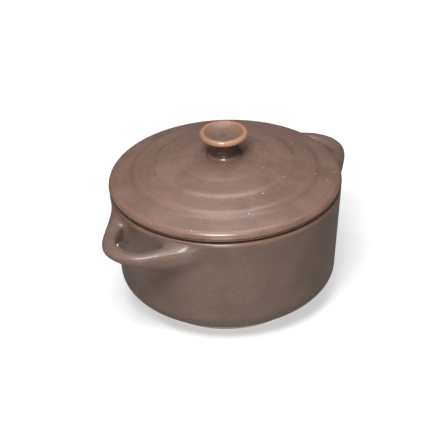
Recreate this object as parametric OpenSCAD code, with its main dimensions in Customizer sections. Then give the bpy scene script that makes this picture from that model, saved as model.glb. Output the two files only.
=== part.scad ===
// Small round stoneware casserole with two loop handles and a loose lid.
// Millimetres. The foot stands on z = 0, the axis of the bowl is Z and the handles lie along X.

/* [Pot] */
// Height of the rim, where the lid rests
pot_h = 52; // [44:1:70]
// Outer diameter of the bowl at the rim
body_d = 96.4; // [90:0.2:120]
// Narrowing of the wall from the rim down to the turn of the base, on the diameter
wall_taper = 6.8; // [2:0.2:10]
// Height of the turn, where the straight wall ends and the round base begins
turn_h = 14; // [10:0.5:18]
// Thickness of the wall
wall_t = 4.4; // [3.6:0.1:6]
// Thickness of the floor
floor_t = 4.6; // [3.5:0.1:7]
// Rounding of the rim on its outer side
rim_round = 1.6; // [1:0.1:2]
// Outer diameter of the bare foot ring
foot_d = 62; // [50:1:70]
// Width of the foot ring
foot_w = 3.4; // [2.5:0.1:5]
// Height of the bare foot ring below the glaze
foot_h = 0.9; // [0.6:0.1:1.6]
// Depth of the hollow inside the foot ring
foot_hollow = 1.6; // [1:0.1:2.4]

/* [Handles] */
// Reach of each handle beyond the rim of the bowl
handle_reach = 16.8; // [14:0.2:22]
// Width of the loop at its tip
tip_w = 6.6; // [5:0.1:8]
// Width of the loop halfway along each leg
leg_w = 6; // [4.5:0.1:7]
// Width of the loop where each leg starts to flare
flare_w = 6.5; // [5:0.1:7.5]
// Height of the loop at its tip
tip_h = 4.9; // [4.5:0.1:7]
// Height of the loop halfway along each leg
leg_h = 6; // [5:0.1:8]
// Height of the loop where each leg starts to flare
flare_h = 8.6; // [7:0.1:10]
// Depth of the loop's middle below the rim at the tip
tip_drop = 6.8; // [6:0.1:10]
// Depth of the loop's middle below the rim at the flare
flare_drop = 7.6; // [6.5:0.1:9]
// Distance along the wall between the middles of a handle's two roots
root_span = 37.6; // [35:0.2:42]
// Length of each root along the wall
root_l = 22.6; // [18:0.2:24]
// Depth of each root's upper end below the rim
root_top = 1; // [0.8:0.1:2]
// Depth at which each root is longest, below the rim
root_widest = 7.2; // [6:0.1:9]
// Depth of each root's lower end below the rim
root_bottom = 19.5; // [16:0.5:22]

/* [Lid] */
// How far the lid's edge stands out past the rim of the bowl
lid_overhang = 0.3; // [0:0.1:1.5]
// Height of the lid's rounded edge, up to where the dome begins
edge_h = 4.5; // [3.5:0.1:5.5]
// Rise of the lid from its edge to the foot of the knob
lid_rise = 9.6; // [7:0.2:14]
// Thickness of the lid
lid_t = 4.2; // [3.4:0.1:5]
// Number of raised rings
ring_count = 3; // [2:1:4]
// Distance from the lid's edge in to the outermost ring's steepest line
ring_inset = 10.4; // [8:0.1:12]
// Distance from ring to ring
ring_pitch = 9.6; // [8:0.1:10]
// Height of the step down at the outermost ring
ring_relief = 1; // [0.4:0.05:1.4]
// Half width of each step
ring_soft = 1.3; // [1:0.1:2]
// Depth of the ring under the lid that sits inside the rim
locator_h = 3.6; // [2.5:0.1:6]
// Width of that ring
locator_w = 3; // [2.4:0.1:4]
// Gap between that ring and the inside of the rim
locator_gap = 0.8; // [0.5:0.1:1.5]

/* [Knob] */
// Outer diameter of the knob's lip
knob_d = 19.7; // [16:0.1:26]
// Height of the knob above the lid
knob_h = 10.9; // [9:0.1:16]
// Diameter of the knob at its waist
waist_d = 11.5; // [8:0.1:13]
// Rounding between the knob's waist and the lid
waist_round = 1.6; // [1.2:0.1:2.2]
// Rounding of the knob's lip
lip_round = 1.3; // [0.9:0.05:1.6]
// Depth of the dish in the knob's top
dish_depth = 1.6; // [0.6:0.1:2.2]

/* [Hidden] */
$fn = 96;
GLAZE = "#7f6a60";

rim_r = body_d / 2;
lid_r = rim_r + lid_overhang;
// Radius of the outermost ring
ring_r = lid_r - ring_inset;
foot_r = foot_d / 2;
turn_r = (body_d - wall_taper) / 2;
// Clear radius just inside the rim
mouth_r = rim_r - wall_t;
floor_z = foot_hollow + floor_t;
// Rounding of the rim on its inner side
RIM_INNER_ROUND = 1;

// Bevel of the foot ring's outer edge, and width of the slope on its inner side
FOOT_BEVEL = 0.4;
FOOT_SLOPE = 0.8;
// Ledge between the foot ring and the glazed belly, and run of the belly out of it
HEEL = 0.6;
HEEL_RUN = 1.4;
// Shares of the turn's height over which the belly follows the wall, across and up
BELLY_HOLD = [0.45, 0.55];
// Rise of the inner turn as a share of the floor's height, and how the well follows the wall
WELL_TURN = 0.4;
WELL_HOLD = [0.5, 0.3];
// Inset of the flat floor from the foot ring's outer edge, and run of the well out of it
FLOOR_INSET = 2;
FLOOR_RUN = 6;

// Points on each curved stretch of an outline
CURVE_STEPS = 10;
// Points along the lid's dome
DOME_STEPS = 44;
// Rings along half of a handle, rings along a root, and points round the loop
LEG_RINGS = 11;
ROOT_RINGS = 9;
RING_POINTS = 24;
// Squareness of the loop's section at its tip and at the flare, where 2 is an ellipse
TIP_POWER = 2.2;
FLARE_POWER = 2.5;
// Squareness of a root's outline above and below its longest line
ROOT_POWER_TOP = 4;
ROOT_POWER_LOW = 1.5;
// Where a handle's middle line bends and flares, as shares of its reach and of the root span
TIP_RUN = 0.218;
BEND = [0.488, 0.29];
FLARE = [0.167, 0.388];
// Turn of the leg's inner and outer side towards the wall where it flares
INNER_TURN = 55;
OUTER_TURN = -2;
// Share of the way to the wall over which the leg and the wall hold their own direction
HOLD = 0.55;
// How far a root's last ring lies inside the wall
ROOT_SINK = 0.4;

// Rounding of the ring under the lid
LOCATOR_ROUND = 1;
// Share of the hollow's radius over which its roof stays level, and its shoulder's place
ROOF_HOLD = 0.5;
SHOULDER = [3, 4];
// Rounding under the lid's edge, and height of the straight side above it
LOW_ROUND = 1.1;
EDGE_SIDE = 0.15;
// Angle at which the rounded edge passes into the dome
EDGE_LEAN = 72;
// Power of the dome's fall from the middle to the edge
DOME_POWER = 2;
edge_round = (edge_h - LOW_ROUND - EDGE_SIDE) / sin(EDGE_LEAN);
// Angles at which the knob's lip passes into its underside and into the dish
LIP_UNDER = 55;
LIP_INNER = 112;
// Angle at which the rounding round the waist meets the lid
WAIST_FOOT = 262;
// Shares of the stem's height over which the waist and the lip hold their own direction
STEM_HOLD = [0.32, 0.375];
// How the dish leaves the lip, in its roundings, and levels out, as a share of its radius
DISH_HOLD = [0.75, 0.55];

function lerp(a, b, t) = a + (b - a) * t;

// Point at t on the cubic curve with ends a and d and handles b and c
function bezier(a, b, c, d, t) =
    pow(1 - t, 3) * a + 3 * pow(1 - t, 2) * t * b + 3 * (1 - t) * t * t * c + pow(t, 3) * d;

// Points of that curve, from just after its first end to its last
function curve(a, b, c, d, steps = CURVE_STEPS) =
    [for (i = [1:steps]) bezier(a, b, c, d, i / steps)];

// Points of an arc about c with radius r, from angle a0 to a1
function arc(c, r, a0, a1, steps = 6) =
    [for (i = [0:steps]) let (a = lerp(a0, a1, i / steps)) c + r * [cos(a), sin(a)]];

// Outer radius of the bowl at height z, from the turn up the straight wall and over the rim
function wall_r(z) =
    let (round_z = pot_h - rim_round)
    z > round_z
        ? rim_r - rim_round + sqrt(pow(rim_round, 2) - pow(z - round_z, 2))
        : lerp(turn_r, rim_r, (z - turn_h) / (round_z - turn_h));

// Outline of the bowl's half section, from the middle of the floor out, over the rim and back
function pot_outline() =
    let (
        slope = (rim_r - turn_r) / (pot_h - turn_h),
        turn = [turn_r, turn_h],
        under = [turn_r - slope * turn_h * BELLY_HOLD[0], turn_h * BELLY_HOLD[1]],
        heel = [foot_r + HEEL, foot_h],
        inner_turn = [turn_r - wall_t, turn_h + floor_z * WELL_TURN],
        inner_under = [
            inner_turn[0] - slope * turn_h * WELL_HOLD[0],
            lerp(floor_z, inner_turn[1], WELL_HOLD[1])
        ],
        inner_floor = [foot_r - FLOOR_INSET, floor_z]
    )
    concat(
        [[0, foot_hollow], [foot_r - foot_w - FOOT_SLOPE, foot_hollow], [foot_r - foot_w, 0]],
        [[foot_r - FOOT_BEVEL, 0], [foot_r, FOOT_BEVEL], [foot_r, foot_h], heel],
        curve(heel, heel + [HEEL_RUN, 0], under, turn),
        arc([rim_r - rim_round, pot_h - rim_round], rim_round, 0, 90),
        arc([mouth_r + RIM_INNER_ROUND, pot_h - RIM_INNER_ROUND], RIM_INNER_ROUND, 90, 180, 4),
        [inner_turn],
        curve(inner_turn, inner_under, [inner_floor[0] + FLOOR_RUN, floor_z], inner_floor),
        [[0, floor_z]]
    );

// Quadratic through a, b and c at t = 0, 0.5 and 1
function through(a, b, c, t) =
    a * (1 - t) * (1 - 2 * t) + 4 * b * t * (1 - t) + c * t * (2 * t - 1);

// Signed power, for the superellipse section
function spow(v, p) = sign(v) * pow(abs(v), p);

// The middle line of half a handle, seen from above, from the tip to where the leg flares
LOOP = [
    [rim_r + handle_reach - tip_w / 2, 0],
    [rim_r + handle_reach - tip_w / 2, root_span * TIP_RUN],
    [rim_r + handle_reach * BEND[0], root_span * BEND[1]],
    [rim_r + handle_reach * FLARE[0], root_span * FLARE[1]]
];

// Ring of the loop at t, 0 at the tip and 1 at the flare
function loop_ring(t) =
    let (
        c = bezier(LOOP[0], LOOP[1], LOOP[2], LOOP[3], t),
        way = loop_way(t),
        w = through(tip_w, leg_w, flare_w, t) / 2,
        h = through(tip_h, leg_h, flare_h, t) / 2,
        z = pot_h - lerp(tip_drop, flare_drop, t),
        power = lerp(TIP_POWER, FLARE_POWER, t * t)
    )
    [for (i = [0:RING_POINTS - 1])
        let (
            a = 360 * i / RING_POINTS,
            out = w * spow(cos(a), 2 / power),
            up = h * spow(sin(a), 2 / power)
        )
        [c[0] + way[1] * out, c[1] - way[0] * out, z + up]];

// Direction of the middle line at t
function loop_way(t) =
    let (
        d = pow(1 - t, 2) * (LOOP[1] - LOOP[0])
            + 2 * (1 - t) * t * (LOOP[2] - LOOP[1])
            + t * t * (LOOP[3] - LOOP[2])
    )
    d / norm(d);

// Ring of the root at u, 0 at the flare and 1 just under the wall's surface
function root_ring(u) =
    let (
        start = loop_ring(1),
        way = loop_way(1),
        leg_a = atan2(way[1], way[0]),
        mid = [deg(root_span / 2 / rim_r), pot_h - root_widest],
        half_a = deg(root_l / 2 / rim_r)
    )
    [for (i = [0:RING_POINTS - 1])
        let (
            a = 360 * i / RING_POINTS,
            power = sin(a) > 0 ? ROOT_POWER_TOP : ROOT_POWER_LOW,
            half_z = sin(a) > 0 ? root_widest - root_top : root_bottom - root_widest,
            foot = mid + [half_a * spow(cos(a), 2 / power), half_z * spow(sin(a), 2 / power)],
            head = leg_a + lerp(OUTER_TURN, INNER_TURN, (1 - cos(a)) / 2),
            p0 = start[i],
            meets = level_ray(p0, head),
            p1 = lerp(p0, on_wall(meets), HOLD),
            p2 = on_wall(lerp(foot, meets, HOLD)),
            p3 = on_wall(foot, -ROOT_SINK)
        )
        bezier(p0, p1, p2, p3, u)];

// Angle in degrees of an arc one radius long
function deg(arcs) = arcs * 180 / PI;

// Angle and height at which a level line from p towards angle head meets the bowl
function level_ray(p, head) =
    let (
        z = p[2],
        r = wall_r(z),
        d = [cos(head), sin(head)],
        near = p[0] * d[0] + p[1] * d[1],
        run = -near - sqrt(pow(near, 2) - pow(p[0], 2) - pow(p[1], 2) + pow(r, 2))
    )
    [atan2(p[1] + run * d[1], p[0] + run * d[0]), z];

// Point of the bowl at angle and height at, off its surface by rise
function on_wall(at, rise = 0) =
    let (r = wall_r(at[1]) + rise) [r * cos(at[0]), r * sin(at[0]), at[1]];

function mirror_ring(ring) = [for (p = ring) [p[0], -p[1], p[2]]];

// One loop handle on the +X side, lofted ring by ring from root to root
module handle() {
    half = concat(
        [for (i = [1:LEG_RINGS]) loop_ring(i / LEG_RINGS)],
        [for (i = [1:ROOT_RINGS]) root_ring(i / ROOT_RINGS)]
    );
    n = len(half);
    rings = concat(
        [for (i = [n - 1:-1:0]) mirror_ring(half[i])],
        [loop_ring(0)],
        half
    );
    last = len(rings) - 1;
    k = RING_POINTS;
    sides = [for (i = [0:last - 1], j = [0:k - 1])
        let (a = i * k + j, b = i * k + (j + 1) % k)
        each [[a, b, b + k], [a, b + k, a + k]]];
    first_cap = [for (j = [k - 1:-1:0]) j];
    last_cap = [for (j = [0:k - 1]) last * k + j];
    polyhedron(
        points = [for (ring = rings) each ring],
        faces = concat(sides, [first_cap, last_cap])
    );
}

// The bowl and its two handles, one piece of stoneware
module pot() {
    color(GLAZE) {
        rotate_extrude() polygon(pot_outline());
        handle();
        rotate(180) handle();
    }
}

// Radius and height of the step down at each ring, which grows with its radius
STEPS = [for (i = [0:ring_count - 1])
    let (r = ring_r - i * ring_pitch) [r, ring_relief * r / ring_r]];

function sum(list, i = 0) = i < len(list) ? list[i] + sum(list, i + 1) : 0;

// Radius at which the rounded edge passes into the dome
dome_r = lid_r - edge_round * (1 - cos(EDGE_LEAN));

// Top surface of the lid at radius r, above the lid's seat: an even dome with a soft step down
// at each ring
function lid_top(r) =
    let (
        steps = [for (step = STEPS) step[1] / (1 + exp(2 * (step[0] - r) / ring_soft))],
        dome = lid_rise - sum([for (step = STEPS) step[1]])
    )
    edge_h + lid_rise - dome * pow(r / dome_r, DOME_POWER) - sum(steps);

// Outline of the lid's half section, from the axis down the underside and back over the top
function lid_outline() =
    let (
        locator_r = mouth_r - locator_gap,
        hollow_r = locator_r - locator_w,
        round_z = LOCATOR_ROUND - locator_h,
        rise_z = edge_h + lid_rise - lid_t,
        base_r = waist_d / 2 + waist_round,
        top_z = edge_h + lid_rise + knob_h
    )
    concat(
        [[0, rise_z]],
        curve([0, rise_z], [hollow_r * ROOF_HOLD, rise_z], [hollow_r - SHOULDER[0], SHOULDER[1]],
            [hollow_r, round_z]),
        arc([hollow_r + LOCATOR_ROUND, round_z], LOCATOR_ROUND, 180, 270, 3),
        arc([locator_r - LOCATOR_ROUND, round_z], LOCATOR_ROUND, 270, 360, 3),
        [[locator_r, 0]],
        arc([lid_r - LOW_ROUND, LOW_ROUND], LOW_ROUND, 270, 360, 4),
        arc([lid_r - edge_round, LOW_ROUND + EDGE_SIDE], edge_round, 0, EDGE_LEAN, 6),
        [for (i = [1:DOME_STEPS])
            let (r = lerp(dome_r, base_r, i / DOME_STEPS)) [r, lid_top(r)]],
        knob_outline(lid_top(base_r), top_z)
    );

// Outline of the knob, from the lid up the waist, round the lip and into the dish
function knob_outline(low, top) =
    let (
        waist_r = waist_d / 2,
        lip = [knob_d / 2 - lip_round, top - lip_round],
        throat = [waist_r, low + waist_round],
        under_lip = lip + lip_round * [cos(LIP_UNDER), -sin(LIP_UNDER)],
        stem_h = under_lip[1] - throat[1],
        inner = lip + lip_round * [cos(LIP_INNER), sin(LIP_INNER)],
        inner_way = [-sin(LIP_INNER), cos(LIP_INNER)]
    )
    concat(
        arc([waist_r + waist_round, low + waist_round], waist_round, WAIST_FOOT, 180, 5),
        curve(throat, throat + [0, STEM_HOLD[0] * stem_h],
            under_lip - STEM_HOLD[1] * stem_h * [sin(LIP_UNDER), cos(LIP_UNDER)], under_lip, 10),
        arc(lip, lip_round, -LIP_UNDER, 90, 8),
        arc(lip, lip_round, 90, LIP_INNER, 2),
        curve(inner, inner + lip_round * DISH_HOLD[0] * inner_way,
            [inner[0] * DISH_HOLD[1], top - dish_depth], [0, top - dish_depth], 8)
    );

// The lid with its knob, one piece of stoneware, resting on the rim
module lid() {
    color(GLAZE)
        translate([0, 0, pot_h])
            rotate_extrude() polygon(lid_outline());
}

pot();
lid();
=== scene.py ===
import math

import bmesh
import bpy
import numpy as np
from mathutils import Matrix, Vector


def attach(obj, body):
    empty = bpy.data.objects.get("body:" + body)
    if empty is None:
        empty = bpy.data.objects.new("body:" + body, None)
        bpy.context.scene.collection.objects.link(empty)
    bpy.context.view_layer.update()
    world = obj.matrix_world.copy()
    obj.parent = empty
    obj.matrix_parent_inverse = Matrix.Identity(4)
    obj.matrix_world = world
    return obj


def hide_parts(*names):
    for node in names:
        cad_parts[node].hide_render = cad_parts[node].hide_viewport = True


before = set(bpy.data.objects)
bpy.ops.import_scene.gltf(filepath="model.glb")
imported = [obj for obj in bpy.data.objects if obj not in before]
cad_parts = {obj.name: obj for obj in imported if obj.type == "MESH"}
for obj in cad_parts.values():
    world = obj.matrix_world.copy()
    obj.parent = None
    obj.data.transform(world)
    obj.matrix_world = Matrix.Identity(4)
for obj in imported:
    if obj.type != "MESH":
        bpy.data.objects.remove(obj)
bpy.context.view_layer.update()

# The pot: bowl, foot ring and two loop handles, cast in one piece of stoneware and fired under a
# satin taupe glaze. The foot ring is wiped bare before firing, so that it doesn't stick to the
# kiln shelf. It stands on the table by its own weight. Sizes are in mm, and angles in degrees.
MM = 0.001
POT_H, RIM_R = 52.0, 48.2
TURN_R, TURN_H = 44.8, 14.0             # where the straight wall turns into the belly
WALL_T, FLOOR_T = 4.4, 4.6
RIM_ROUND, RIM_INNER_ROUND = 1.4, 1.0
RIM_FALL, RIM_LEAN = 0.6, 75            # the rim's outer shoulder is lower than its inner lip
FOOT_R, FOOT_W, FOOT_H = 31.4, 3.6, 1.7
FOOT_HOLLOW, FOOT_SPLAY = 1.6, 0.8      # depth and slope of the hollow inside the foot ring
FOOT_BREAK, FOOT_BREAK_IN = 0.4, 0.25   # its broken edges
HEEL = 0.3                              # step from the foot out to the belly
BELLY_START, BELLY_PULL = [2.1, 1.2], 0.45  # how the belly leaves the heel and meets the wall
WELL_LIFT, WELL_PULL, WELL_RISE = 0.4, 0.5, 0.3     # how the inside leaves the wall
WELL_IN, WELL_REACH = 2.0, 6.0          # and how it meets the floor
HANDLE_REACH = 16.8
TIP_W, LEG_W, FLARE_W = 6.6, 6.0, 6.5   # the loop's width at its tip, along its leg, at the wall
TIP_H, LEG_H, FLARE_H = 4.9, 6.0, 8.6   # its height there
TIP_DROP, FLARE_DROP = 6.8, 7.6         # its middle below the rim
TIP_POWER, FLARE_POWER = 2.2, 2.5       # 2 gives an ellipse, more gives squarer shoulders
ROOT_SPAN, ROOT_L = 37.6, 22.6          # between the roots' middles, and along the wall
ROOT_BOTTOM, ROOT_WIDEST = 18.5, 6.7    # below the rim
ROOT_CLEAR = 0.6                        # from the root's top to the rim's shoulder
ROOT_POWER_TOP, ROOT_POWER_LOW = 4.0, 1.5
ROOT_PULL = 0.55                        # how far the root's curves reach for their corner
INNER_TURN, OUTER_TURN = 55, -2         # their turn from the leg's way, inside and outside the loop
SOFT_ROUNDS = 18                        # of smoothing, which melt the root into leg and wall
# The middle line of half a loop, from its tip to its root, as (x, y) of a cubic curve.
LOOP = np.array([[RIM_R + HANDLE_REACH - TIP_W / 2, 0], [RIM_R + HANDLE_REACH - TIP_W / 2, 8.2],
                 [56.4, 10.9], [51.0, 14.6]])

COLUMNS = 240                           # round the axis
GRID_STEP = 1.3
MERGE_WITHIN = 0.002
LEG_RINGS, ROOT_RINGS, COLLAR_RINGS = 22, 14, 6
WINDOW_SIDE = 11                        # columns of the wall to each side of the root's middle
WINDOW_LOW = 3.5                        # from the root's bottom to the window's
WINDOW_HIGH = 0.32                      # share of the rim's rounding that is above the window


def bezier(a, b, c, d, t):
    """Cubic curve: (1-t)^3 a + 3(1-t)^2 t b + 3(1-t) t^2 c + t^3 d, for every t at once."""
    a, b, c, d = (np.asarray(v, float) for v in (a, b, c, d))
    t = np.asarray(t, float)[..., None]
    return (1 - t) ** 3 * a + 3 * (1 - t) ** 2 * t * b + 3 * (1 - t) * t * t * c + t ** 3 * d


def arc(centre, radius, start, end, steps):
    """Points at centre + radius (cos a, sin a), for a from start to end."""
    a = np.radians(np.linspace(start, end, steps))
    return np.stack([centre[0] + radius * np.cos(a), centre[1] + radius * np.sin(a)], -1)


def respaced(points):
    """The same outline with extra points about GRID_STEP apart where its own lie further apart:
    a + (b - a) i/n along each stretch from a to b."""
    steps = np.maximum(1, np.round(np.hypot(*np.diff(points, axis=0).T) / GRID_STEP).astype(int))
    rows = [a + (b - a) * np.linspace(0, 1, n, endpoint=False)[:, None]
            for a, b, n in zip(points[:-1], points[1:], steps)]
    return np.concatenate(rows + [points[-1:]])


def pot_outline():
    """Half section of the bowl as (radius, height), from the middle underneath, out, over the
    rim and back inside: the foot ring by its corners, the belly as a cubic curve that meets the
    straight wall along its slope, two arcs for the rim, and a cubic curve for the well."""
    slope = (RIM_R - TURN_R) / (POT_H - TURN_H)
    floor_z = FOOT_HOLLOW + FLOOR_T
    foot_in = FOOT_R - FOOT_W
    foot = np.array([[0, FOOT_HOLLOW], [foot_in - FOOT_SPLAY, FOOT_HOLLOW],
                     [foot_in, FOOT_BREAK_IN], [foot_in + FOOT_BREAK_IN, 0],
                     [FOOT_R - FOOT_BREAK, 0], [FOOT_R, FOOT_BREAK], [FOOT_R, FOOT_H - HEEL]])
    t = np.linspace(0, 1, 22)
    heel = np.array([FOOT_R + HEEL, FOOT_H])
    belly = bezier(heel, heel + BELLY_START,
                   [TURN_R - slope * TURN_H * BELLY_PULL, TURN_H * (1 - BELLY_PULL)],
                   [TURN_R, TURN_H], t)
    rim = arc([RIM_R - RIM_ROUND, POT_H - RIM_FALL - RIM_ROUND], RIM_ROUND, 0, RIM_LEAN, 12)
    lip = arc([RIM_R - WALL_T + RIM_INNER_ROUND, POT_H - RIM_INNER_ROUND],
              RIM_INNER_ROUND, 80, 180, 8)
    inner = np.array([TURN_R - WALL_T, TURN_H + floor_z * WELL_LIFT])
    well = bezier(inner, [inner[0] - slope * TURN_H * WELL_PULL,
                          floor_z + (inner[1] - floor_z) * WELL_RISE],
                  [FOOT_R - WELL_IN + WELL_REACH, floor_z], [FOOT_R - WELL_IN, floor_z], t)
    return respaced(np.concatenate([foot, belly, rim, lip, well, [[0, floor_z]]]))


class Wall:
    """The bowl as a surface of two parameters: S(a, v) = (r(v) cos a, r(v) sin a, z(v)), where v
    is the length along the outline up to the point (r, z)."""

    def __init__(self, outline):
        self.outline = outline
        self.v = np.concatenate([[0], np.cumsum(np.hypot(*np.diff(outline, axis=0).T))])

    def at(self, angle, v):
        """S at each angle and length."""
        r = np.interp(v, self.v, self.outline[:, 0])
        z = np.interp(v, self.v, self.outline[:, 1])
        return np.stack([r * np.cos(angle), r * np.sin(angle), z], -1)

    def way(self, angle, v, d_angle, d_v):
        """How S changes along (d_angle, d_v): the central difference over a twentieth of it."""
        e = 0.05
        return (self.at(angle + d_angle * e, v + d_v * e)
                - self.at(angle - d_angle * e, v - d_v * e)) / (2 * e)


def through(a, b, c, t):
    """Quadratic through a, b and c at t = 0, 0.5 and 1."""
    return a * (1 - t) * (1 - 2 * t) + 4 * b * t * (1 - t) + c * t * (2 * t - 1)


def signed_power(v, p):
    """The sign of v times |v|^p."""
    return np.sign(v) * np.abs(v) ** p


def loop_rings(t, turns):
    """Rings round the handle's loop, and the way that the loop runs at each. The middle line is
    the cubic curve of LOOP, lying flat. Round it goes the superellipse |x/w|^p + |z/h|^p = 1,
    across the way, with w, h, p and its depth below the rim changing with t."""
    s = np.asarray(t, float)[:, None]
    middle = bezier(*LOOP, t)
    way = ((1 - s) ** 2 * (LOOP[1] - LOOP[0]) + 2 * (1 - s) * s * (LOOP[2] - LOOP[1])
           + s * s * (LOOP[3] - LOOP[2]))
    way /= np.linalg.norm(way, axis=1, keepdims=True)
    power = 2 / (TIP_POWER + (FLARE_POWER - TIP_POWER) * s * s)
    out = through(TIP_W, LEG_W, FLARE_W, s) / 2 * signed_power(np.cos(turns), power)
    up = through(TIP_H, LEG_H, FLARE_H, s) / 2 * signed_power(np.sin(turns), power)
    z = POT_H - (TIP_DROP + (FLARE_DROP - TIP_DROP) * s)
    return np.stack([middle[:, :1] + way[:, 1:] * out, middle[:, 1:] - way[:, :1] * out,
                     z + up], -1), way


def softened(grid):
    """The grid with its root melted into leg and wall: in each of SOFT_ROUNDS rounds a point p
    becomes p + k (m - p), where m is the mean of its four neighbours. k is 0.5 at the root, and
    falls to 0 along the leg and towards the window's edge."""
    row = np.arange(len(grid))[:, None, None]
    pull = 0.5 * np.clip((row - LEG_RINGS * 0.6) / (LEG_RINGS * 0.4), 0, 1)
    pull = pull * np.clip((len(grid) - 1 - row) / 3, 0, 1)
    for _ in range(SOFT_ROUNDS):
        ring = (np.roll(grid, 1, 1) + np.roll(grid, -1, 1)) / 2
        along = grid.copy()
        along[1:-1] = (grid[:-2] + grid[2:]) / 2
        grid = grid + pull * ((ring + along) / 2 - grid)
    return grid


def handle_grid(wall, columns, rows):
    """Half of a handle as rings from the loop's tip to the edge of a window in the wall, which
    is columns by rows of the bowl's grid. The foot of the root is a superellipse on the wall,
    the collar is a straight blend from it to the window's edge along the wall, and the root is
    a cubic curve that leaves the leg along its turned way and lands along the wall."""
    angles = 2 * np.pi * np.arange(columns[0], columns[1] + 1) / COLUMNS
    vs = wall.v[rows[0]:rows[1] + 1]
    edge = np.concatenate([
        np.stack([np.full(len(vs) - 1, angles[-1]), vs[:-1]], -1),
        np.stack([angles[:0:-1], np.full(len(angles) - 1, vs[-1])], -1),
        np.stack([np.full(len(vs) - 1, angles[0]), vs[:0:-1]], -1),
        np.stack([angles[:-1], np.full(len(angles) - 1, vs[0])], -1)])
    outside = slice(rows[0] - 6, rows[1] + 3)
    wall_z, wall_v = wall.outline[outside, 1], wall.v[outside]
    v_low = np.interp(POT_H - ROOT_BOTTOM, wall_z, wall_v)
    v_high = vs[-1] - ROOT_CLEAR
    v_mid = vs[-1] - ROOT_WIDEST
    middle = np.array([ROOT_SPAN / 2 / RIM_R, v_mid])
    half_a = ROOT_L / 2 / RIM_R
    half_v = np.where(edge[:, 1] > v_mid, v_high - v_mid, v_mid - v_low)
    turns = np.arctan2((edge[:, 1] - v_mid) / half_v, (edge[:, 0] - middle[0]) / half_a)
    power = 2 / np.where(np.sin(turns) > 0, ROOT_POWER_TOP, ROOT_POWER_LOW)
    foot = middle + np.stack([half_a * signed_power(np.cos(turns), power),
                              half_v * signed_power(np.sin(turns), power)], -1)
    collar = foot + (edge - foot) * np.linspace(0, 1, COLLAR_RINGS + 1)[:, None, None]
    collar = wall.at(collar[..., 0], collar[..., 1])
    rings, way = loop_rings(np.linspace(0, 1, LEG_RINGS + 1), turns)

    # Each line of the root aims at the corner where the leg's way would run into the wall.
    leg_end, wall_end = rings[-1], collar[0]
    inner = (1 - np.cos(turns)) / 2
    head = (math.atan2(way[-1][1], way[-1][0])
            + np.radians(INNER_TURN * inner + OUTER_TURN * (1 - inner)))
    way = np.stack([np.cos(head), np.sin(head), 0 * head], -1)
    v = np.interp(leg_end[:, 2], wall_z, wall_v)
    r = np.interp(v, wall.v, wall.outline[:, 0])
    towards = (leg_end * way).sum(1)
    run = -towards - np.sqrt(towards ** 2 - (leg_end[:, 0] ** 2 + leg_end[:, 1] ** 2 - r ** 2))
    corner = leg_end + run[:, None] * way
    back = np.stack([np.arctan2(corner[:, 1], corner[:, 0]), v], -1) - foot
    root = bezier(leg_end, leg_end + ROOT_PULL * (corner - leg_end),
                  wall_end + ROOT_PULL * wall.way(foot[:, 0], foot[:, 1], back[:, 0], back[:, 1]),
                  wall_end, np.linspace(0, 1, ROOT_RINGS + 1)[:, None] + np.zeros(len(turns)))
    return softened(np.concatenate([rings, root[1:], collar[1:]]))


def grid_faces(rows, columns, first=0):
    """Quads between neighbouring rows of a grid whose columns close into rings: point (i, j),
    its neighbours (i, j+1) and (i+1, j+1), and (i+1, j)."""
    a = first + np.arange(rows * columns).reshape(rows, columns)
    b = np.roll(a, -1, 1)
    return np.stack([a[:-1], b[:-1], b[1:], a[1:]], -1)


def revolved(outline):
    """Points (r cos a, r sin a, z) of an outline (r, z) turned about Z in equal steps, row by
    row. Its first and last point, which lie on the axis, are left out: a flat face closes the
    ring beside each."""
    a = 2 * np.pi * np.arange(COLUMNS) / COLUMNS
    r, z = outline[1:-1, :1], outline[1:-1, 1:]
    return np.stack([r * np.cos(a), r * np.sin(a), z + 0 * a], -1)


def finished_mesh(name, points, quads, n_body):
    """A smooth mesh in metres from points in mm, with doubled points merged and the two ends of
    the turned body, its first n_body points, closed."""
    mesh = bpy.data.meshes.new(name)
    ends = [tuple(range(COLUMNS)), tuple(range(n_body - COLUMNS, n_body))]
    mesh.from_pydata((points * MM).tolist(), [], quads.tolist() + ends)
    bm = bmesh.new()
    bm.from_mesh(mesh)
    bmesh.ops.remove_doubles(bm, verts=bm.verts, dist=MERGE_WITHIN * MM)
    loose = [v for v in bm.verts if not v.link_faces]
    bmesh.ops.delete(bm, geom=loose, context="VERTS")
    bmesh.ops.recalc_face_normals(bm, faces=bm.faces)
    bm.to_mesh(mesh)
    bm.free()
    mesh.shade_smooth()
    piece = bpy.data.objects.new(name, mesh)
    bpy.context.scene.collection.objects.link(piece)
    return piece


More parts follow.
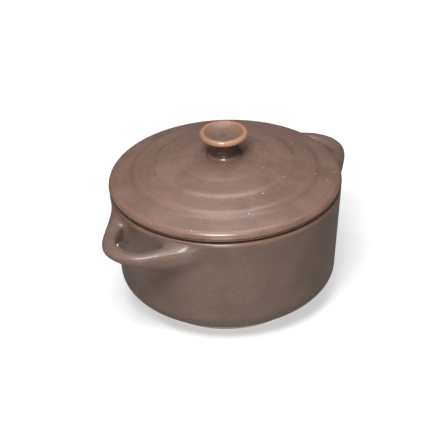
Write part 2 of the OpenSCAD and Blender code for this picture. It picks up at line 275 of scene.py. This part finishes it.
def make_pot():
    """The turned bowl with four windows in its wall, and a handle's loop between each two. The
    half handle is mirrored in Y for a whole one, and turned half round for the other side."""
    outline = pot_outline()
    body = revolved(outline)
    quads = grid_faces(len(body), COLUMNS)
    high = int(np.argmax(outline[:, 1] > POT_H - RIM_FALL - RIM_ROUND * WINDOW_HIGH))
    low = int(np.argmin(np.abs(outline[:high, 1] - (POT_H - ROOT_BOTTOM - WINDOW_LOW))))
    centre = int(round(ROOT_SPAN / 2 / RIM_R * COLUMNS / (2 * np.pi)))
    columns = (centre - WINDOW_SIDE, centre + WINDOW_SIDE)
    keep = np.ones(quads.shape[:2], bool)
    for turn in (0, COLUMNS // 2):
        for first in (columns[0], -columns[1]):
            cells = (turn + np.arange(first, first + 2 * WINDOW_SIDE)) % COLUMNS
            keep[low - 1:high - 1, cells] = False
    half = handle_grid(Wall(outline), columns, (low, high))
    loop = np.concatenate([(half * [1, -1, 1])[:0:-1], half])
    n_body, n_loop = body.size // 3, loop.size // 3
    points = [body.reshape(-1, 3), loop.reshape(-1, 3), (loop * [-1, -1, 1]).reshape(-1, 3)]
    loops = [grid_faces(*loop.shape[:2], n_body + n * n_loop).reshape(-1, 4) for n in (0, 1)]
    return finished_mesh("pot_stoneware", np.concatenate(points),
                         np.concatenate([quads[keep]] + loops), n_body)


def linear(code):
    """An sRGB hex colour as linear red, green, blue and alpha."""
    s = [int(code[i:i + 2], 16) / 255 for i in (1, 3, 5)]
    return [c / 12.92 if c <= 0.04045 else ((c + 0.055) / 1.055) ** 2.4 for c in s] + [1.0]


def node(tree, kind, settings=None, **inputs):
    """Adds a node with its settings and links. An input is named as its socket, or i and its
    number, and is a value or another node's socket."""
    n = tree.nodes.new(kind)
    for key, value in (settings or {}).items():
        setattr(n, key, value)
    for key, value in inputs.items():
        numbered = key[0] == "i" and key[1:].isdigit()
        socket = n.inputs[int(key[1:])] if numbered else n.inputs[key.replace("_", " ")]
        if isinstance(value, bpy.types.NodeSocket):
            tree.links.new(value, socket)
        else:
            socket.default_value = value
    return n


def bend_map(piece, blur):
    """Stores how strongly the surface bulges at each vertex p, in 1/mm, as the attribute bend:
    twice the mean over its edges pq of normal . (p - q) / |p - q|^2. Then each value becomes the
    mean of itself and its neighbours' mean, blur times. A hollow gives a value below zero."""
    mesh = piece.data
    n, m = len(mesh.vertices), len(mesh.edges)
    co, normal, ends = np.empty(n * 3), np.empty(n * 3), np.empty(m * 2, np.int32)
    mesh.vertices.foreach_get("co", co)
    mesh.vertices.foreach_get("normal", normal)
    mesh.edges.foreach_get("vertices", ends)
    co, normal, ends = co.reshape(n, 3) / MM, normal.reshape(n, 3), ends.reshape(m, 2)
    a, b = np.concatenate([ends, ends[:, ::-1]]).T
    step = co[a] - co[b]
    count = np.bincount(a, minlength=n)
    bend = 2 * np.bincount(a, (normal[a] * step).sum(1) / (step ** 2).sum(1), n) / count
    for _ in range(blur):
        bend = 0.5 * bend + 0.5 * np.bincount(a, bend[b], n) / count
    mesh.attributes.new("bend", "FLOAT", "POINT").data.foreach_set("value", bend.astype(np.float32))


# Satin iron glaze on stoneware, sprayed on and fired. It gives the eye a warm grey-brown with a
# soft sheen. It runs thin over rims and edges, where the iron burns through as copper, and lies
# thick and dark in hollows. Its typical IOR is 1.5 to 1.6.
# The thick glaze's dark colour also serves as painted shade on the lid's stem and along the feet of
# its rings.
THICK_GLAZE_AND_SHADE, THIN_GLAZE = "#51392f", "#a87a62"
COPPER = ("#be876a", "#d0a083")
IRON_GRAIN, CRYSTAL, WHITE_SPECK = "#4d3a31", "#c9b3a8", "#e6d9cf"
BARE_CLAY, TOASTED_CLAY = ("#eadccb", "#d6c3ae"), "#6b4a3a"
# Patterns in mm: clouds from the spray gun's passes, iron grain, crystals, and the spacing of the
# white specks. Real grain and crystals are about 0.1 mm. That is too fine to show where a pixel
# is 0.42 mm wide, so they are drawn as coarse as they need to show.
CLOUD, GRAIN, FROST, SPECKS = 14, 0.9, 0.42, 2.4
COPPER_FROM, COPPER_TO = 0.27, 0.44     # bend, in 1/mm
EDGE_FRAY, FOOT_FRAY = 0.12, 0.8        # how far the patterns break up an even line, 1/mm and mm
GLAZE_IOR = 1.6
BUMP_STRENGTH, BUMP_DEPTH = 0.14, 0.03  # the orange-peel of a sprayed glaze, depth in mm
SMOOTHLY = {"interpolation_type": "SMOOTHSTEP"}


def layer(tree, under, over, value, low, high, most=1.0):
    """The colour under with over laid on it: under + k (over - under), where k rises smoothly
    from 0 to most as value goes from low to high."""
    k = node(tree, "ShaderNodeMapRange", SMOOTHLY, i0=value, i1=low, i2=high, i3=0.0,
             i4=most).outputs[0]
    return node(tree, "ShaderNodeMix", {"data_type": "RGBA"}, i0=k, i6=under, i7=over).outputs[2]


def frayed(tree, value, pattern, by):
    """A value whose even lines are broken up by a pattern: value + by (pattern - 0.5)."""
    off = node(tree, "ShaderNodeMath", {"operation": "SUBTRACT"}, i0=pattern, i1=0.5).outputs[0]
    off = node(tree, "ShaderNodeMath", {"operation": "MULTIPLY"}, i0=off, i1=by).outputs[0]
    return node(tree, "ShaderNodeMath", {"operation": "ADD"}, i0=value, i1=off).outputs[0]


def satin_glaze(name, body, thin_from, thin_to, copper_most, speck, rough, clay_to=-1.0):
    """The satin iron glaze as a tree of nodes. body is its two cloud colours. It thins from
    thin_from to thin_to of bend, and shows at most copper_most of its copper. speck is the
    radius of the largest white speck as a share of SPECKS, rough is its lowest roughness, and
    clay_to is the height in mm up to which the clay is bare."""
    material = bpy.data.materials.new(name)
    material.use_nodes = True
    t = material.node_tree
    t.nodes.clear()
    at = node(t, "ShaderNodeTexCoord").outputs["Object"]
    bend = node(t, "ShaderNodeAttribute", {"attribute_name": "bend"}).outputs["Fac"]
    cloud, grain, frost = [
        node(t, "ShaderNodeTexNoise", Vector=at, Scale=1 / (size * MM), Detail=detail,
             Roughness=keep).outputs[0]
        for size, detail, keep in ((CLOUD, 3.0, 0.6), (GRAIN, 2.0, 0.7), (FROST, 1.0, 0.5))]

    # Clouds, thick glaze in hollows, thin glaze and copper on edges, iron grain and crystals. The
    # thick glaze's dark colour is also painted shade where the lid's bend is lowered for it.
    worn = frayed(t, bend, grain, EDGE_FRAY)
    copper = layer(t, linear(COPPER[0]), linear(COPPER[1]), cloud, 0.4, 0.6)
    colour = layer(t, linear(body[0]), linear(body[1]), cloud, 0.35, 0.65)
    colour = layer(t, colour, linear(THICK_GLAZE_AND_SHADE), bend, -0.02, -0.4, 0.95)
    colour = layer(t, colour, linear(THIN_GLAZE), worn, thin_from, thin_to, 0.75)
    colour = layer(t, colour, copper, worn, COPPER_FROM, COPPER_TO, copper_most)
    colour = layer(t, colour, linear(IRON_GRAIN), grain, 0.3, 0.7, 0.22)
    colour = layer(t, colour, linear(CRYSTAL), frost, 0.5, 0.8, 0.17)

    # White specks lie in patches, and few of them are large: the radius is a random number cubed.
    cells = node(t, "ShaderNodeTexVoronoi", Vector=at, Scale=1 / (SPECKS * MM)).outputs
    random = node(t, "ShaderNodeSeparateColor", Color=cells["Color"]).outputs[0]
    cubed = node(t, "ShaderNodeMath", {"operation": "POWER"}, i0=random, i1=3.0).outputs[0]
    radius = node(t, "ShaderNodeMath", {"operation": "MULTIPLY"}, i0=cubed, i1=speck).outputs[0]
    inside = node(t, "ShaderNodeMath", {"operation": "LESS_THAN"}, i0=cells["Distance"],
                  i1=radius).outputs[0]
    patch = node(t, "ShaderNodeMapRange", SMOOTHLY, i0=cloud, i1=0.42, i2=0.56, i3=0.0,
                 i4=0.85).outputs[0]
    white = node(t, "ShaderNodeMath", {"operation": "MULTIPLY"}, i0=inside, i1=patch).outputs[0]
    colour = node(t, "ShaderNodeMix", {"data_type": "RGBA"}, i0=white, i6=colour,
                  i7=linear(WHITE_SPECK)).outputs[2]

    # Grain breaks up the sheen, and thin glaze over an edge is glossier.
    matt = node(t, "ShaderNodeMapRange", SMOOTHLY, i0=grain, i1=0.25, i2=0.75, i3=rough,
                i4=rough + 0.08).outputs[0]
    gloss = node(t, "ShaderNodeMapRange", SMOOTHLY, i0=worn, i1=COPPER_FROM, i2=COPPER_TO, i3=0.0,
                 i4=0.09).outputs[0]
    roughness = node(t, "ShaderNodeMath", {"operation": "SUBTRACT"}, i0=matt, i1=gloss).outputs[0]
    if clay_to > 0:
        # Dry, cream clay on the foot, with a toasted line where the glaze ends.
        height = node(t, "ShaderNodeSeparateXYZ", Vector=at).outputs[2]
        height = frayed(t, height, cloud, FOOT_FRAY * MM)
        top, bottom = clay_to * MM, (clay_to - 0.25) * MM
        clay = layer(t, linear(BARE_CLAY[0]), linear(BARE_CLAY[1]), grain, 0.3, 0.7)
        colour = layer(t, colour, linear(TOASTED_CLAY), height, (clay_to + 1.2) * MM, top, 0.5)
        colour = layer(t, colour, clay, height, top, bottom)
        dry = node(t, "ShaderNodeMapRange", SMOOTHLY, i0=height, i1=top, i2=bottom, i3=0.0,
                   i4=0.85).outputs[0]
        roughness = node(t, "ShaderNodeMath", {"operation": "MAXIMUM"}, i0=roughness,
                         i1=dry).outputs[0]

    peel = [node(t, "ShaderNodeMath", {"operation": "MULTIPLY"}, i0=pattern, i1=share).outputs[0]
            for pattern, share in ((grain, 0.7), (frost, 0.3))]
    relief = node(t, "ShaderNodeMath", {"operation": "ADD"}, i0=peel[0], i1=peel[1]).outputs[0]
    bump = node(t, "ShaderNodeBump", Strength=BUMP_STRENGTH, Distance=BUMP_DEPTH * MM,
                Height=relief).outputs[0]
    shader = node(t, "ShaderNodeBsdfPrincipled", Base_Color=colour, Roughness=roughness,
                  IOR=GLAZE_IOR, Normal=bump)
    node(t, "ShaderNodeOutputMaterial", Surface=shader.outputs[0])
    return material


pot = make_pot()
bend_map(pot, 2)
pot.data.materials.append(satin_glaze(
    "satin_taupe_glaze_pot", ("#8b7469", "#806a5f"), thin_from=0.24, thin_to=0.6,
    copper_most=0.35, speck=0.05, rough=0.27, clay_to=FOOT_H - 0.1))
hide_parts("pot")
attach(pot, "root")

# The lid: a domed disc with three soft steps and a trumpet-shaped knob, cast in one piece of the
# same stoneware. It lies loose on the rim, where a ring under it keeps it in place. Its edge
# stands a little off the rim, which gives the dark line between lid and pot.
LID_R, LID_RISE, LID_T = 48.49, 9.6, 4.2
EDGE_H, EDGE_ROUND, EDGE_LEAN = 4.5, 3.35, 72
EDGE_LOW, EDGE_GAP = 0.6, 0.78          # rounding of the edge's underside, and its gap to the rim
SEAT_IN, SEAT_SLOPE = 2.6, 0.7          # where the seat ends, and the width of its slope
DOME_POWER = 2.0
RING_COUNT, RING_R, RING_PITCH = 3, 38.1, 9.6
RING_RELIEF, RING_SOFT, RING_POWER = 1.05, 1.2, 1.5
RINGS_AT = RING_R - RING_PITCH * np.arange(RING_COUNT)
LOCATOR_H, LOCATOR_W, LOCATOR_GAP = 3.6, 3.0, 0.8
LOCATOR_ROUND = 1.0
HOLLOW_FLAT, HOLLOW_IN, HOLLOW_Z = 0.5, 3.0, 4.0    # how the hollow leaves its middle and ends
KNOB_R, KNOB_H, DISH_DEPTH = 10.0, 10.9, 2.2
WAIST_R, WAIST_ROUND = 5.4, 2.6
STEM_PULL, STEM_PULL_TOP = 2.2, 2.6     # how the stem leaves the waist and meets the lip
DISH_START, DISH_PULL = [0.9, 0.36], 0.55   # how the dish leaves the lip and levels out
LIP_ROUND, LIP_UNDER, LIP_INNER = 1.25, 55, 112
TOP_H = EDGE_H + LID_RISE + KNOB_H


def lid_top(r):
    """Height of the lid's top above its seat at radius r. An even dome falls as the radius to
    DOME_POWER, and at each ring of radius R it steps down by d / (1 + exp(2 (R - r) / soft)),
    where d grows with R."""
    edge = LID_R - EDGE_ROUND * (1 - math.cos(math.radians(EDGE_LEAN)))
    drop = RING_RELIEF * (RINGS_AT / RING_R) ** RING_POWER
    steps = (drop / (1 + np.exp(2 * (RINGS_AT - np.asarray(r)[..., None]) / RING_SOFT))).sum(-1)
    return EDGE_H + LID_RISE - (LID_RISE - drop.sum()) * (r / edge) ** DOME_POWER - steps


def lid_outline():
    """Half section of the lid as (radius, height), from the middle underneath, out, over the
    edge and up to the middle of the knob's dish: cubic curves for the hollow, the stem and the
    dish, arcs for the locating ring, the edge, the waist and the lip, and lid_top between."""
    locator_r = RIM_R - WALL_T - LOCATOR_GAP
    hollow_r = locator_r - LOCATOR_W
    hollow_z, locator_z = EDGE_H + LID_RISE - LID_T, LOCATOR_ROUND - LOCATOR_H
    hollow = bezier([0, hollow_z], [hollow_r * HOLLOW_FLAT, hollow_z],
                    [hollow_r - HOLLOW_IN, HOLLOW_Z], [hollow_r, locator_z],
                    np.linspace(0, 1, 24))
    locator_in = arc([hollow_r + LOCATOR_ROUND, locator_z], LOCATOR_ROUND, 180, 270, 5)
    locator_out = arc([locator_r - LOCATOR_ROUND, locator_z], LOCATOR_ROUND, 270, 360, 5)
    seat = [[locator_r, 0], [LID_R - SEAT_IN, 0], [LID_R - SEAT_IN + SEAT_SLOPE, EDGE_GAP]]
    low_edge = arc([LID_R - EDGE_LOW, EDGE_GAP + EDGE_LOW], EDGE_LOW, 270, 360, 9)
    top_edge = arc([LID_R - EDGE_ROUND, EDGE_H - EDGE_ROUND * math.sin(math.radians(EDGE_LEAN))],
                   EDGE_ROUND, 0, EDGE_LEAN, 13)
    base_r = WAIST_R + WAIST_ROUND
    r = np.linspace(top_edge[-1, 0], base_r, 100)[1:]
    dome = np.stack([r, lid_top(r)], -1)
    throat = np.array([WAIST_R, float(lid_top(np.float64(base_r))) + WAIST_ROUND])
    waist = arc([base_r, throat[1]], WAIST_ROUND, 262, 180, 8)
    lip_middle = np.array([KNOB_R - LIP_ROUND, TOP_H - LIP_ROUND])
    lean = math.radians(LIP_UNDER)
    under_lip = lip_middle + LIP_ROUND * np.array([math.cos(lean), -math.sin(lean)])
    stem = bezier(throat, throat + [0, STEM_PULL],
                  under_lip - STEM_PULL_TOP * np.array([math.sin(lean), math.cos(lean)]),
                  under_lip, np.linspace(0, 1, 18)[1:])
    lip = arc(lip_middle, LIP_ROUND, -LIP_UNDER, LIP_INNER, 16)[1:]
    dish_z = TOP_H - DISH_DEPTH
    dish = bezier(lip[-1], lip[-1] - DISH_START, [lip[-1, 0] * DISH_PULL, dish_z],
                  [0, dish_z], np.linspace(0, 1, 16)[1:])
    return respaced(np.concatenate([hollow, locator_in, locator_out, seat, low_edge, top_edge,
                                    dome, waist, stem, lip, dish])) + [0, POT_H]


def place_breaks_and_shade(piece):
    """Adds to the lid's bend where the real glaze is thinner (above zero) or thicker than the mesh
    alone tells, and lowers it further as painted shade on the stem under the lip and along each
    ring's foot. A line at radius c is k exp(-((r - c) / w)^2), and a zone that fades in from c over
    w is k times (r - c) / w, held between 0 and 1."""
    mesh = piece.data
    co, bend = np.empty(len(mesh.vertices) * 3), np.empty(len(mesh.vertices), np.float32)
    mesh.vertices.foreach_get("co", co)
    mesh.attributes["bend"].data.foreach_get("value", bend)
    co = co.reshape(-1, 3) / MM
    r, z = np.hypot(co[:, 0], co[:, 1]), co[:, 2] - POT_H

    def line(k, c, w):
        return k * np.exp(-((r - c) / w) ** 2)

    def zone(k, c, w, along):
        return k * np.clip((along - c) / w, 0, 1)

    # The edge keeps its glaze, but for a line along its shoulder and its lower corner.
    bend -= zone(0.1, LID_R - 3.6, 0.8, r)
    bend += line(0.13, LID_R - 1.4, 0.6) * (z > 2)
    bend += zone(0.1, LID_R - 1.6, 0.6, r) * (z < 2)
    # The knob's dish is thinly glazed towards its lip.
    dish = (r < KNOB_R - 1.6 * LIP_ROUND) & (z > TOP_H - DISH_DEPTH - 0.1)
    bend[dish] = np.maximum(bend[dish], -0.03)
    bend += zone(0.3, 3.6, 4.4, r) * (z > TOP_H - DISH_DEPTH)
    # Each ring is thin along its crest. Along its foot it is darkened, partly as thick glaze and
    # partly as painted shade in the valley.
    for ring in RINGS_AT:
        bend += line(0.05, ring - 0.8, 1.2) * (z > EDGE_H)
        bend -= line(0.045, ring + 1.0, 1.1) * (z > EDGE_H)
    # The glaze has run down and gathered on the stem, and this darkens the stem further as painted
    # shade under the knob's lip.
    bend -= 0.5 * zone(1, TOP_H - KNOB_H + 0.6, 1.6, z) * zone(1, 2.0 - TOP_H, 0.8, -z)
    mesh.attributes["bend"].data.foreach_set("value", bend)


lid_points = revolved(lid_outline())
lid = finished_mesh("lid_stoneware", lid_points.reshape(-1, 3),
                    grid_faces(*lid_points.shape[:2]).reshape(-1, 4), lid_points.size // 3)
bend_map(lid, 1)
place_breaks_and_shade(lid)
lid.data.materials.append(satin_glaze(
    "satin_taupe_glaze_lid", ("#987c70", "#8b7064"), thin_from=0.05, thin_to=0.22,
    copper_most=0.95, speck=0.14, rough=0.2))
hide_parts("lid")
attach(lid, "root")

# The table: a wide sheet of matt white paper, which isn't part of the object. It glows though it is
# no lamp, which is painted light: the camera sees it glowing white with its shadows washed out, and
# its glow lights the pot's foot and belly from below. Bounced and mirrored light see it darker and
# glowing less than the camera does, so that it throws back less light than it shows and the glaze
# keeps its depth.
PAPER, PAPER_BOUNCE, PAPER_MIRRORED = "#e4e4e4", "#8c8c8c", "#484848"
PAPER_GLOW, LESS_BOUNCED, LESS_MIRRORED = 0.5, 0.25, 0.4
bpy.ops.mesh.primitive_plane_add(size=4, location=(0, 0, 0))
table = bpy.context.active_object
table.name = "table"
paper = bpy.data.materials.new("glowing_white_paper")
paper.use_nodes = True
tree = paper.node_tree
tree.nodes.clear()
ray = node(tree, "ShaderNodeLightPath").outputs
shade, glow = linear(PAPER), PAPER_GLOW
for kind, colour, less in (("Is Diffuse Ray", PAPER_BOUNCE, LESS_BOUNCED),
                           ("Is Glossy Ray", PAPER_MIRRORED, LESS_MIRRORED)):
    shade = node(tree, "ShaderNodeMix", {"data_type": "RGBA"}, i0=ray[kind], i6=shade,
                 i7=linear(colour)).outputs[2]
    glow = node(tree, "ShaderNodeMath", {"operation": "MULTIPLY_ADD"}, i0=ray[kind], i1=-less,
                i2=glow).outputs[0]
# The glow is painted light: the paper lights the pot from below as a lamp would, and washes out its
# own shadows.
cover = node(tree, "ShaderNodeBsdfPrincipled", Base_Color=shade, Roughness=0.9,
             Emission_Color=(1, 1, 1, 1), Emission_Strength=glow)
node(tree, "ShaderNodeOutputMaterial", Surface=cover.outputs[0])
table.data.materials.append(paper)

# The camera: a long lens, 44 degrees round from the front and 32 degrees up, fitted to the
# photograph's outlines. Its aim is off the pot's axis by a small turn, tilt and roll, in radians.
CAMERA_AZIMUTH, CAMERA_ELEVATION = math.radians(-44.1), math.radians(32.1)
CAMERA_DISTANCE = 1.4
CAMERA_AIM = Vector((0, 0, 0.038))
CAMERA_TURN, CAMERA_TILT, CAMERA_ROLL = -0.0008, -0.0035, -0.0347
FOCAL_PIXELS, IMAGE_PIXELS = 3302.06, 448


def way_to(azimuth, elevation):
    """The direction from the pot to a place: (sin a cos e, -cos a cos e, sin e)."""
    return Vector((math.sin(azimuth) * math.cos(elevation),
                   -math.cos(azimuth) * math.cos(elevation), math.sin(elevation)))


place = way_to(CAMERA_AZIMUTH, CAMERA_ELEVATION) * CAMERA_DISTANCE
view = (CAMERA_AIM - place).normalized()
right = view.cross(Vector((0, 0, 1))).normalized()
up = right.cross(view)
view = (view + CAMERA_TURN * right + CAMERA_TILT * up).normalized()
right = view.cross(up).normalized()
up = right.cross(view)
cos_r, sin_r = math.cos(CAMERA_ROLL), math.sin(CAMERA_ROLL)
right, up = cos_r * right + sin_r * up, cos_r * up - sin_r * right
lens = bpy.data.cameras.new("camera")
lens.lens = FOCAL_PIXELS / IMAGE_PIXELS * lens.sensor_width
lens.clip_end = 10
camera = bpy.data.objects.new("camera", lens)
bpy.context.scene.collection.objects.link(camera)
camera.matrix_world = Matrix.Translation(place) @ Matrix((right, up, -view)).transposed().to_4x4()
bpy.context.scene.camera = camera

# The light: a softbox above the camera and a little to its left, whose reflection draws the
# bright lines on the edges, a wide weaker one at the same place, weak ones above, beside, behind
# and low in front, and a faint even fill from the room.
LAMP_DISTANCE, LAMP_AIM = 0.9, Vector((0, 0, 0.035))


def lamp(name, turn, height, wide, tall, power):
    """A softbox that faces the pot, turn degrees round from the camera and height degrees up.
    wide and tall are in metres, and power in watts."""
    light = bpy.data.lights.new(name, "AREA")
    light.shape, light.size, light.size_y, light.energy = "RECTANGLE", wide, tall, power
    way = way_to(CAMERA_AZIMUTH + math.radians(turn), math.radians(height))
    box = bpy.data.objects.new(name, light)
    box.location = LAMP_AIM + way * LAMP_DISTANCE
    box.rotation_euler = way.to_track_quat("Z", "Y").to_euler()
    bpy.context.scene.collection.objects.link(box)


lamp("softbox_key", -12, 54, 0.28, 0.28, 4.7)
lamp("softbox_strip", -14, 54, 1.0, 0.3, 1.3)
lamp("softbox_top", 0, 88, 0.6, 0.6, 2.3)
lamp("softbox_right", 90, 60, 0.6, 0.6, 0.4)
lamp("softbox_left", -90, 62, 0.6, 0.6, 0.15)
lamp("softbox_back", 180, 76, 0.8, 0.5, 0.7)
lamp("softbox_low", -4, 9, 0.3, 0.28, 1.0)
world = bpy.data.worlds.new("studio")
world.use_nodes = True
world.node_tree.nodes["Background"].inputs["Color"].default_value = (1, 1, 1, 1)
world.node_tree.nodes["Background"].inputs["Strength"].default_value = 0.02
bpy.context.scene.world = world
bpy.context.scene.view_settings.view_transform = "Standard"
